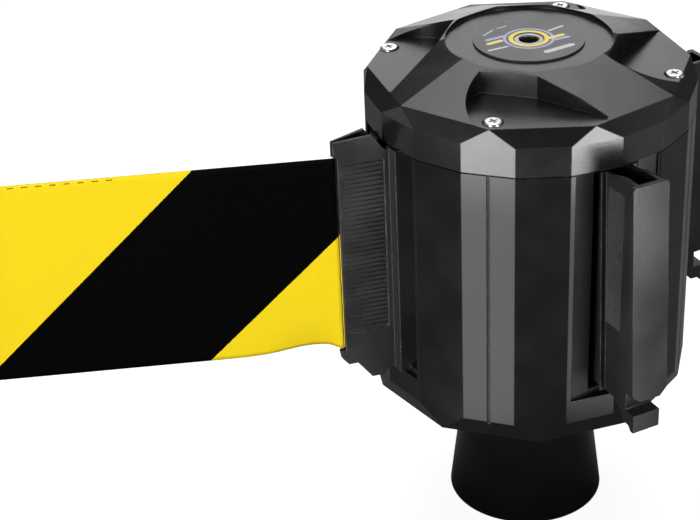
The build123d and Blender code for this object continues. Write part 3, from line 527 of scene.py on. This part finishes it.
beltPrint = {
    "yellow": (0.93, 0.70, 0.015), "yellowDeep": (0.88, 0.64, 0.010), "black": (0.0006, 0.0006, 0.0007),
    "period": 0.2106,              # along the belt, one yellow and one black band
    "blackShare": 0.5,
    "first": 0.1804,               # where the first band starts, measured as along + height / slope
    "slope": 0.96,
    "mouth": -0.1006,              # where the run starts, on the head's X axis
    "low": 0.1124,                 # height of the belt's lower edge
    "inkWander": 0.0004, "inkScale": 700.0,         # unevenness of the print's edges
    "dashHeight": 0.0989, "dashHalf": 0.0003, "dashLength": 0.0062, "dashFrom": 0.096,
    "dashShare": 0.45, "dashInk": 0.75,
    "weavePitch": 0.0011, "weaveDepth": 0.00006, "weaveTone": 0.5,
    "roughness": 0.55, "weaveDulls": 0.15, "gloss": 0.04,
}


# printed webbing: on the flat run the print follows the belt's own UV map,
# inside the head it follows the head's axes
def webbing(name, look, flatRun):
    material, tree, shader = blank(name)
    parts = tree.nodes.new("ShaderNodeSeparateXYZ")
    if flatRun:
        cloth = tree.nodes.new("ShaderNodeUVMap")
        cloth.uv_map = "beltPlane"
        tree.links.new(cloth.outputs["UV"], parts.inputs[0])
        along, up = parts.outputs["X"], parts.outputs["Y"]
    else:
        tree.links.new(objectPoint(tree), parts.inputs[0])
        along = calc(tree, "SUBTRACT", look["mouth"], parts.outputs["X"])
        up = calc(tree, "SUBTRACT", parts.outputs["Z"], look["low"])
    woven = place(tree, "weave", U=along, V=up, Pitch=look["weavePitch"])
    height = calc(tree, "ADD", up, look["low"])
    slope = calc(tree, "ADD", along, calc(tree, "DIVIDE", height, look["slope"]))
    slant = calc(tree, "SUBTRACT", slope, look["first"])
    inkEdge = calc(tree, "MULTIPLY", noise(tree, objectPoint(tree), look["inkScale"], 2.0), look["inkWander"])
    phase = calc(tree, "FRACT", calc(tree, "DIVIDE", calc(tree, "ADD", slant, inkEdge), look["period"]))
    black = calc(tree, "LESS_THAN", phase, look["blackShare"])
    inRow = calc(tree, "COMPARE", up, look["dashHeight"], look["dashHalf"])
    dashPhase = calc(tree, "FRACT", calc(tree, "DIVIDE", along, look["dashLength"]))
    dashes = calc(tree, "LESS_THAN", dashPhase, look["dashShare"])
    shown = calc(tree, "GREATER_THAN", along, look["dashFrom"])
    marks = calc(tree, "MULTIPLY", calc(tree, "MULTIPLY", inRow, dashes), shown)
    tone = calc(tree, "MULTIPLY", woven["Shade"], look["weaveTone"])
    yellow = mixed(tree, tone, look["yellow"], look["yellowDeep"])
    ink = calc(tree, "MAXIMUM", black, calc(tree, "MULTIPLY", marks, look["dashInk"]))
    feed(tree, shader["Base Color"], mixed(tree, ink, yellow, look["black"]))
    sheen = calc(tree, "MULTIPLY_ADD", woven["Shade"], look["weaveDulls"], look["roughness"])
    feed(tree, shader["Roughness"], sheen)
    shader["Specular IOR Level"].default_value = look["gloss"]
    feed(tree, shader["Normal"], bumped(tree, woven["Height"], look["weaveDepth"]))
    return material


labelPrint = {
    "ground": (0.035, 0.036, 0.040), "yellow": (0.85, 0.68, 0.04), "lavender": (0.36, 0.36, 0.68),
    "pale": (0.55, 0.55, 0.57),
    "turn": -27.07,                # degrees; the print is read from the front left
    # colour, inner radius, outer radius in millimetres
    "rings": [("yellow", 7.2, 9.3), ("lavender", 10.4, 11.8)],
    # colour, first end, last end, width in millimetres, across and up the print
    "bars": [
        ("lavender", (-19.0, -0.4), (-11.6, 3.4), 2.2), ("yellow", (-18.6, -4.8), (-13.0, -1.6), 2.4),
        ("yellow", (9.6, -0.2), (15.6, 3.0), 2.3), ("lavender", (11.4, -2.4), (17.8, 0.3), 2.1),
        ("pale", (-20.2, 5.2), (-15.8, 11.0), 0.7), ("pale", (-13.6, 13.0), (-9.2, 15.4), 0.7),
        ("pale", (10.2, 8.4), (16.4, 13.0), 1.5), ("pale", (-18.8, -12.2), (-10.6, -8.4), 1.5),
        ("pale", (6.8, -15.6), (18.6, -8.8), 3.0)],
    "lighter": 1.35, "scratches": 0.6, "dust": 0.5, "marks": 0.3,
    "grain": 1500.0, "evenness": 120.0, "depth": 0.00001,
    "roughness": 0.34, "grainDulls": 0.08,
}


def printedLabel(name, look):
    material, tree, shader = blank(name)
    turned = tree.nodes.new("ShaderNodeMapping")
    turned.inputs["Rotation"].default_value = (0, 0, -math.radians(look["turn"]))
    tree.links.new(objectPoint(tree), turned.inputs["Vector"])
    parts = tree.nodes.new("ShaderNodeSeparateXYZ")
    tree.links.new(turned.outputs[0], parts.inputs[0])
    across, up = parts.outputs["X"], parts.outputs["Y"]
    grain = place(tree, "grain", Scale=look["grain"], Evenness=look["evenness"])
    marks = place(tree, "handling", Scratches=look["scratches"], Dust=look["dust"])
    lighter = [look["lighter"] * part for part in look["ground"]]
    colour = mixed(tree, grain["Tone"], look["ground"], lighter)
    for ink, inner, outer in look["rings"]:
        shape = place(tree, "ring", X=across, Y=up, Inner=inner * mm, Outer=outer * mm)
        colour = mixed(tree, shape["Mask"], colour, look[ink])
    for ink, start, end, width in look["bars"]:
        run = Vector(end) - Vector(start)
        middle = (Vector(end) + Vector(start)) / 2
        shape = place(tree, "bar", X=across, Y=up, Mid_X=middle.x * mm, Mid_Y=middle.y * mm,
                      Turn=math.atan2(run.y, run.x), Half_Length=run.length * mm / 2,
                      Half_Width=width * mm / 2)
        colour = mixed(tree, shape["Mask"], colour, look[ink])
    scratched = calc(tree, "MULTIPLY", marks["Mask"], look["marks"])
    feed(tree, shader["Base Color"], mixed(tree, scratched, colour, look["pale"]))
    uneven = calc(tree, "MULTIPLY_ADD", grain["Tone"], look["grainDulls"], look["roughness"])
    feed(tree, shader["Roughness"], uneven)
    feed(tree, shader["Normal"], bumped(tree, grain["Height"], look["depth"]))
    return material


finishes = {name: plastic(name, look) for name, look in plastics.items()}
finishes.update({name: metal(name, look) for name, look in metals.items()})
finishes["beltRunPrint"] = webbing("beltRunPrint", beltPrint, True)
finishes["beltInsidePrint"] = webbing("beltInsidePrint", beltPrint, False)
finishes["labelPrint"] = printedLabel("labelPrint", labelPrint)
slotFinish = {
    "gloss_black": "shellBlack", "cap_black": "capBlack", "fitting_black": "fittingBlack",
    "inner_plastic": "innerPlastic", "zinc_steel": "zincSteel", "turned_steel": "turnedSteel",
    "spring_steel": "springSteel", "sheet_steel": "sheetSteel", "belt_webbing": "beltInsidePrint",
    "label_print": "labelPrint", "bush_bronze": "bushBronze",
}
nodeSlot = {part["node"]: part["material_slot"] for part in record["subparts"]}
nodeFinish = {name: finishes[slotFinish[slot]] for name, slot in nodeSlot.items()}
nodeFinish["post_collar"] = finishes["collarBlack"]
nodeFinish["hub_insert"] = finishes["hubSteel"]
for name, node in nodes.items():
    node.data.materials.clear()
    node.data.materials.append(nodeFinish[name])
print("materials:", ", ".join(sorted(finishes)))


headPieces = []                     # every new piece that the cards light


# the moulded pieces: the CAD shape with smooth rounds and crisp facets
moulded = {
    "sharpFrom": 10.5,              # degrees between faces; a flatter edge is shaded smooth
    "merge": 0.002, "tiny": 0.001,  # millimetres
    "pieces": {
        "capMoulding": ("top_cap", "head"),
        "shellOutlet": ("side_shell_outlet", "head"),
        "shellFront": ("side_shell_front", "head"),
        "shellRight": ("side_shell_right", "head"),
        "shellRear": ("side_shell_rear", "head"),
        "receiverFront": ("receiver_front", "head"),
        "receiverRight": ("receiver_right", "head"),
        "receiverRear": ("receiver_rear", "head"),
        "outletMoulding": ("belt_outlet", "head"),
        "collarMoulding": ("post_collar", "head"),
        "labelDisc": ("label_disc", "head"),
        "hubInsert": ("hub_insert", "head"),
        "clipBody": ("clip_body", "belt"),
        "clipCover": ("clip_cover", "belt"),
    },
}


# a merged copy of a CAD node, shaded smooth except where its faces meet at an edge
def smoothedCopy(name, nodeName, body, values):
    mesh = nodes[nodeName].data.copy()
    mesh.name = name
    shape = bmesh.new()
    shape.from_mesh(mesh)
    bmesh.ops.remove_doubles(shape, verts=shape.verts, dist=values["merge"] * mm)
    bmesh.ops.dissolve_degenerate(shape, edges=shape.edges, dist=values["tiny"] * mm)
    for face in shape.faces:
        face.smooth = True
    for edge in shape.edges:
        edge.smooth = edge.calc_face_angle(0.0) < math.radians(values["sharpFrom"])
    shape.to_mesh(mesh)
    shape.free()
    piece = bpy.data.objects.new(name, mesh)
    bpy.context.scene.collection.objects.link(piece)
    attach(piece, body)
    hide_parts(nodeName)
    headPieces.append(piece)


for name, (nodeName, body) in moulded["pieces"].items():
    smoothedCopy(name, nodeName, body, moulded)
print("moulded pieces:", len(moulded["pieces"]))


# geometry node trees for what repeats
def nodeTree(name, inputs):
    tree = bpy.data.node_groups.new(name, "GeometryNodeTree")
    tree.interface.new_socket(name="Geometry", in_out="INPUT", socket_type="NodeSocketGeometry")
    for label, kind in inputs:
        tree.interface.new_socket(name=label, in_out="INPUT", socket_type=kind)
    tree.interface.new_socket(name="Geometry", in_out="OUTPUT", socket_type="NodeSocketGeometry")
    return tree, tree.nodes.new("NodeGroupInput").outputs, tree.nodes.new("NodeGroupOutput").inputs


def endTree(tree, given, made, instances):
    real = tree.nodes.new("GeometryNodeRealizeInstances")
    tree.links.new(instances, real.inputs["Geometry"])
    coloured = tree.nodes.new("GeometryNodeSetMaterial")
    tree.links.new(real.outputs["Geometry"], coloured.inputs["Geometry"])
    tree.links.new(given["Finish"], coloured.inputs["Material"])
    tree.links.new(coloured.outputs["Geometry"], made["Geometry"])


def instancesOn(tree, points, shape):
    node = tree.nodes.new("GeometryNodeInstanceOnPoints")
    tree.links.new(points, node.inputs["Points"])
    tree.links.new(shape, node.inputs["Instance"])
    return node.outputs["Instances"]


def row(tree, given, countName, stepName, start=None):
    line = tree.nodes.new("GeometryNodeMeshLine")
    line.mode = "OFFSET"
    tree.links.new(given[countName], line.inputs["Count"])
    tree.links.new(given[stepName], line.inputs["Offset"])
    if start is not None:
        tree.links.new(start, line.inputs["Start Location"])
    return line.outputs["Mesh"]


def buildRibRow():
    tree, given, made = nodeTree("ribRow", [
        ("Count", "NodeSocketInt"), ("Step", direction), ("Finish", "NodeSocketMaterial")])
    endTree(tree, given, made, instancesOn(tree, row(tree, given, "Count", "Step"), given["Geometry"]))
    return tree


# rows of points across and up, and the same again half a step on, so that the studs stand in diamonds
def buildKnurl():
    tree, given, made = nodeTree("knurl", [
        ("Columns", "NodeSocketInt"), ("Across", direction), ("Rows", "NodeSocketInt"), ("Up", direction),
        ("Finish", "NodeSocketMaterial")])
    shifted = tree.nodes.new("ShaderNodeVectorMath")
    shifted.operation = "ADD"
    tree.links.new(given["Across"], shifted.inputs[0])
    tree.links.new(given["Up"], shifted.inputs[1])
    half = tree.nodes.new("ShaderNodeVectorMath")
    half.operation = "SCALE"
    half.inputs["Scale"].default_value = 0.5
    tree.links.new(shifted.outputs[0], half.inputs[0])
    both = tree.nodes.new("GeometryNodeJoinGeometry")
    for start in (None, half.outputs[0]):
        across = row(tree, given, "Columns", "Across", start)
        columns = instancesOn(tree, across, row(tree, given, "Rows", "Up"))
        loose = tree.nodes.new("GeometryNodeRealizeInstances")
        tree.links.new(columns, loose.inputs["Geometry"])
        tree.links.new(loose.outputs["Geometry"], both.inputs["Geometry"])
    endTree(tree, given, made, instancesOn(tree, both.outputs["Geometry"], given["Geometry"]))
    return tree


trees = {"ribRow": buildRibRow(), "knurl": buildKnurl()}


# the seed mesh repeated by a tree and made into one plain mesh
def repeated(name, seed, treeName, values, body):
    host = bpy.data.objects.new(name + "Seed", seed)
    bpy.context.scene.collection.objects.link(host)
    modifier = host.modifiers.new("repeat", "NODES")
    modifier.node_group = trees[treeName]
    sockets = {item.name: item.identifier for item in trees[treeName].interface.items_tree
               if item.in_out == "INPUT"}
    for label, value in values.items():
        modifier[sockets[label]] = value
    view = bpy.context.evaluated_depsgraph_get()
    mesh = bpy.data.meshes.new_from_object(host.evaluated_get(view))
    mesh.name = name
    bpy.data.objects.remove(host)
    piece = bpy.data.objects.new(name, mesh)
    bpy.context.scene.collection.objects.link(piece)
    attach(piece, body)
    headPieces.append(piece)


def solid(name, corners, faces):
    mesh = bpy.data.meshes.new(name)
    mesh.from_pydata([tuple(corner) for corner in corners], [], faces)
    shape = bmesh.new()
    shape.from_mesh(mesh)
    bmesh.ops.recalc_face_normals(shape, faces=shape.faces)
    shape.to_mesh(mesh)
    shape.free()
    return mesh


# ribs in the two grip panels of the belt outlet, in millimetres
grip = {
    "count": 37, "pitch": 2.36, "low": 122.9,
    "nearR": 80.2, "farR": 98.8,
    "halfNear": 5.58, "halfFar": 1.40,  # the panel's floor, out from the middle plane
    "half": 0.62, "high": 0.44, "sunk": 0.05, "endSlope": 0.3,
    "steps": 4,                         # facets round one rib
}


def ribMesh(values, side):
    near = Vector((-values["nearR"], side * values["halfNear"], values["low"])) * mm
    far = Vector((-values["farR"], side * values["halfFar"], values["low"])) * mm
    run = (far - near).normalized()
    out = Vector((-run.y, run.x, 0)) if side * run.x > 0 else Vector((run.y, -run.x, 0))
    corners = []
    steps = values["steps"]
    for end, inset in ((near, 1), (far, -1)):
        for step in range(steps + 1):
            turn = math.pi * step / steps
            corners.append(end + out * (math.sin(turn) * values["high"] - values["sunk"]) * mm
                           + Vector((0, 0, math.cos(turn) * values["half"] * mm))
                           + run * inset * values["endSlope"] * math.sin(turn) * mm)
    size = steps + 1
    faces = [(i, i + 1, i + 1 + size, i + size) for i in range(steps)]
    faces.append((0, size, 2 * size - 1, size - 1))
    faces += [tuple(range(size)), tuple(range(2 * size - 1, size - 1, -1))]
    return solid("gripRib", corners, faces)


for side, name in ((-1, "gripRibsFront"), (1, "gripRibsRear")):
    repeated(name, ribMesh(grip, side), "ribRow",
             {"Count": grip["count"], "Step": (0, 0, grip["pitch"] * mm), "Finish": finishes["gripBlack"]},
             "head")
print("grip ribs")


# knurled sides of the receivers' stems, in millimetres
knurl = {
    "columns": 11, "rows": 62, "step": 1.1, "low": 139.0, "nearR": 76.6, "stemHalf": 6.7,
    "high": 0.50, "sunk": 0.02,
    "turns": {"Right": 0, "Rear": 90, "Front": 270},    # degrees about the head's axis
}


# a four-sided stud on the stem's wall, its corners up, down and to the sides
def studMesh(values, side, turn):
    reach = values["step"] * 0.5
    wall = side * (values["stemHalf"] - values["sunk"])
    tip = side * (values["stemHalf"] + values["high"])
    centre = values["nearR"] + reach
    level = values["low"] + reach
    corners = [Vector((centre - reach, wall, level)), Vector((centre, wall, level - reach)),
               Vector((centre + reach, wall, level)), Vector((centre, wall, level + reach)),
               Vector((centre, tip, level))]
    turned = Matrix.Rotation(math.radians(turn), 4, "Z")
    return solid("knurlStud", [turned @ corner * mm for corner in corners],
                 [(0, 1, 2, 3), (0, 1, 4), (1, 2, 4), (2, 3, 4), (3, 0, 4)])


for label, turn in knurl["turns"].items():
    outwards = Matrix.Rotation(math.radians(turn), 3, "Z") @ Vector((knurl["step"] * mm, 0, 0))
    for side, hand in ((1, "Left"), (-1, "Right")):
        repeated("knurl" + label + hand, studMesh(knurl, side, turn), "knurl",
                 {"Columns": knurl["columns"], "Across": tuple(outwards), "Rows": knurl["rows"],
                  "Up": (0, 0, knurl["step"] * mm), "Finish": finishes["gripBlack"]},
                 "head")
print("knurled stems")


# the belt: one printed sheet from the mouth into the end clip, in millimetres
belt = {
    "mouth": (beltPrint["mouth"] / mm, 0.0), "turn": 20.8, "start": 0.4, "length": 193.6,
    "low": beltPrint["low"] / mm, "width": 100.0, "thickness": 0.8,
    "along": 110, "across": 44,     # faces along and across the sheet
    # the lower edge lifts and turns away a little near the mouth
    "curlSpread": 17.64, "curlHeight": 20.0, "curlUp": 2.2, "curlAway": 2.6, "curlAt": 14.0, "flatStart": 6.0,
    "keep": 0.1322,                 # share of the run that is left when the clip is at the mouth
}


def beltSheet(values):
    turn = math.radians(values["turn"])
    ahead = Vector((-math.cos(turn), math.sin(turn), 0))
    aside = Vector((math.sin(turn), math.cos(turn), 0))
    start = Vector((*values["mouth"], 0))
    corners = []
    plane = []
    for column in range(values["along"] + 1):
        along = values["start"] + values["length"] * column / values["along"]
        for line in range(values["across"] + 1):
            up = values["width"] * line / values["across"]
            near = math.exp(-((along - values["curlAt"]) / values["curlSpread"]) ** 2)
            near *= min(1.0, (along - values["start"]) / values["flatStart"])
            edge = max(0.0, 1 - up / values["curlHeight"]) ** 2 * near
            point = start + ahead * along + aside * values["curlAway"] * edge
            point += Vector((0, 0, values["low"] + up + values["curlUp"] * edge))
            corners.append(point * mm)
            plane.append((along * mm, up * mm))
    size = values["across"] + 1
    faces = []
    for column in range(values["along"]):
        for line in range(values["across"]):
            first = column * size + line
            faces.append((first, first + size, first + size + 1, first + 1))
    mesh = bpy.data.meshes.new("beltSheet")
    mesh.from_pydata([tuple(corner) for corner in corners], [], faces)
    layer = mesh.uv_layers.new(name="beltPlane")
    for loop in mesh.loops:
        layer.data[loop.index].uv = plane[loop.vertex_index]
    mesh.shade_smooth()
    sheet = bpy.data.objects.new("beltSheet", mesh)
    bpy.context.scene.collection.objects.link(sheet)
    thick = sheet.modifiers.new("thickness", "SOLIDIFY")
    thick.thickness = values["thickness"] * mm
    thick.offset = 0.0
    view = bpy.context.evaluated_depsgraph_get()
    finished = bpy.data.meshes.new_from_object(sheet.evaluated_get(view))
    sheet.modifiers.clear()
    sheet.data = finished
    finished.materials.clear()
    finished.materials.append(finishes["beltRunPrint"])
    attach(sheet, "belt")
    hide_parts("belt_run")
    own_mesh(sheet)
    return sheet


beltLit.objects.link(beltSheet(belt))
print("belt")


seenNodes = [node for node in nodes.values() if not node.hide_render]
for shown in seenNodes + headPieces:
    cardLit.objects.link(shown)
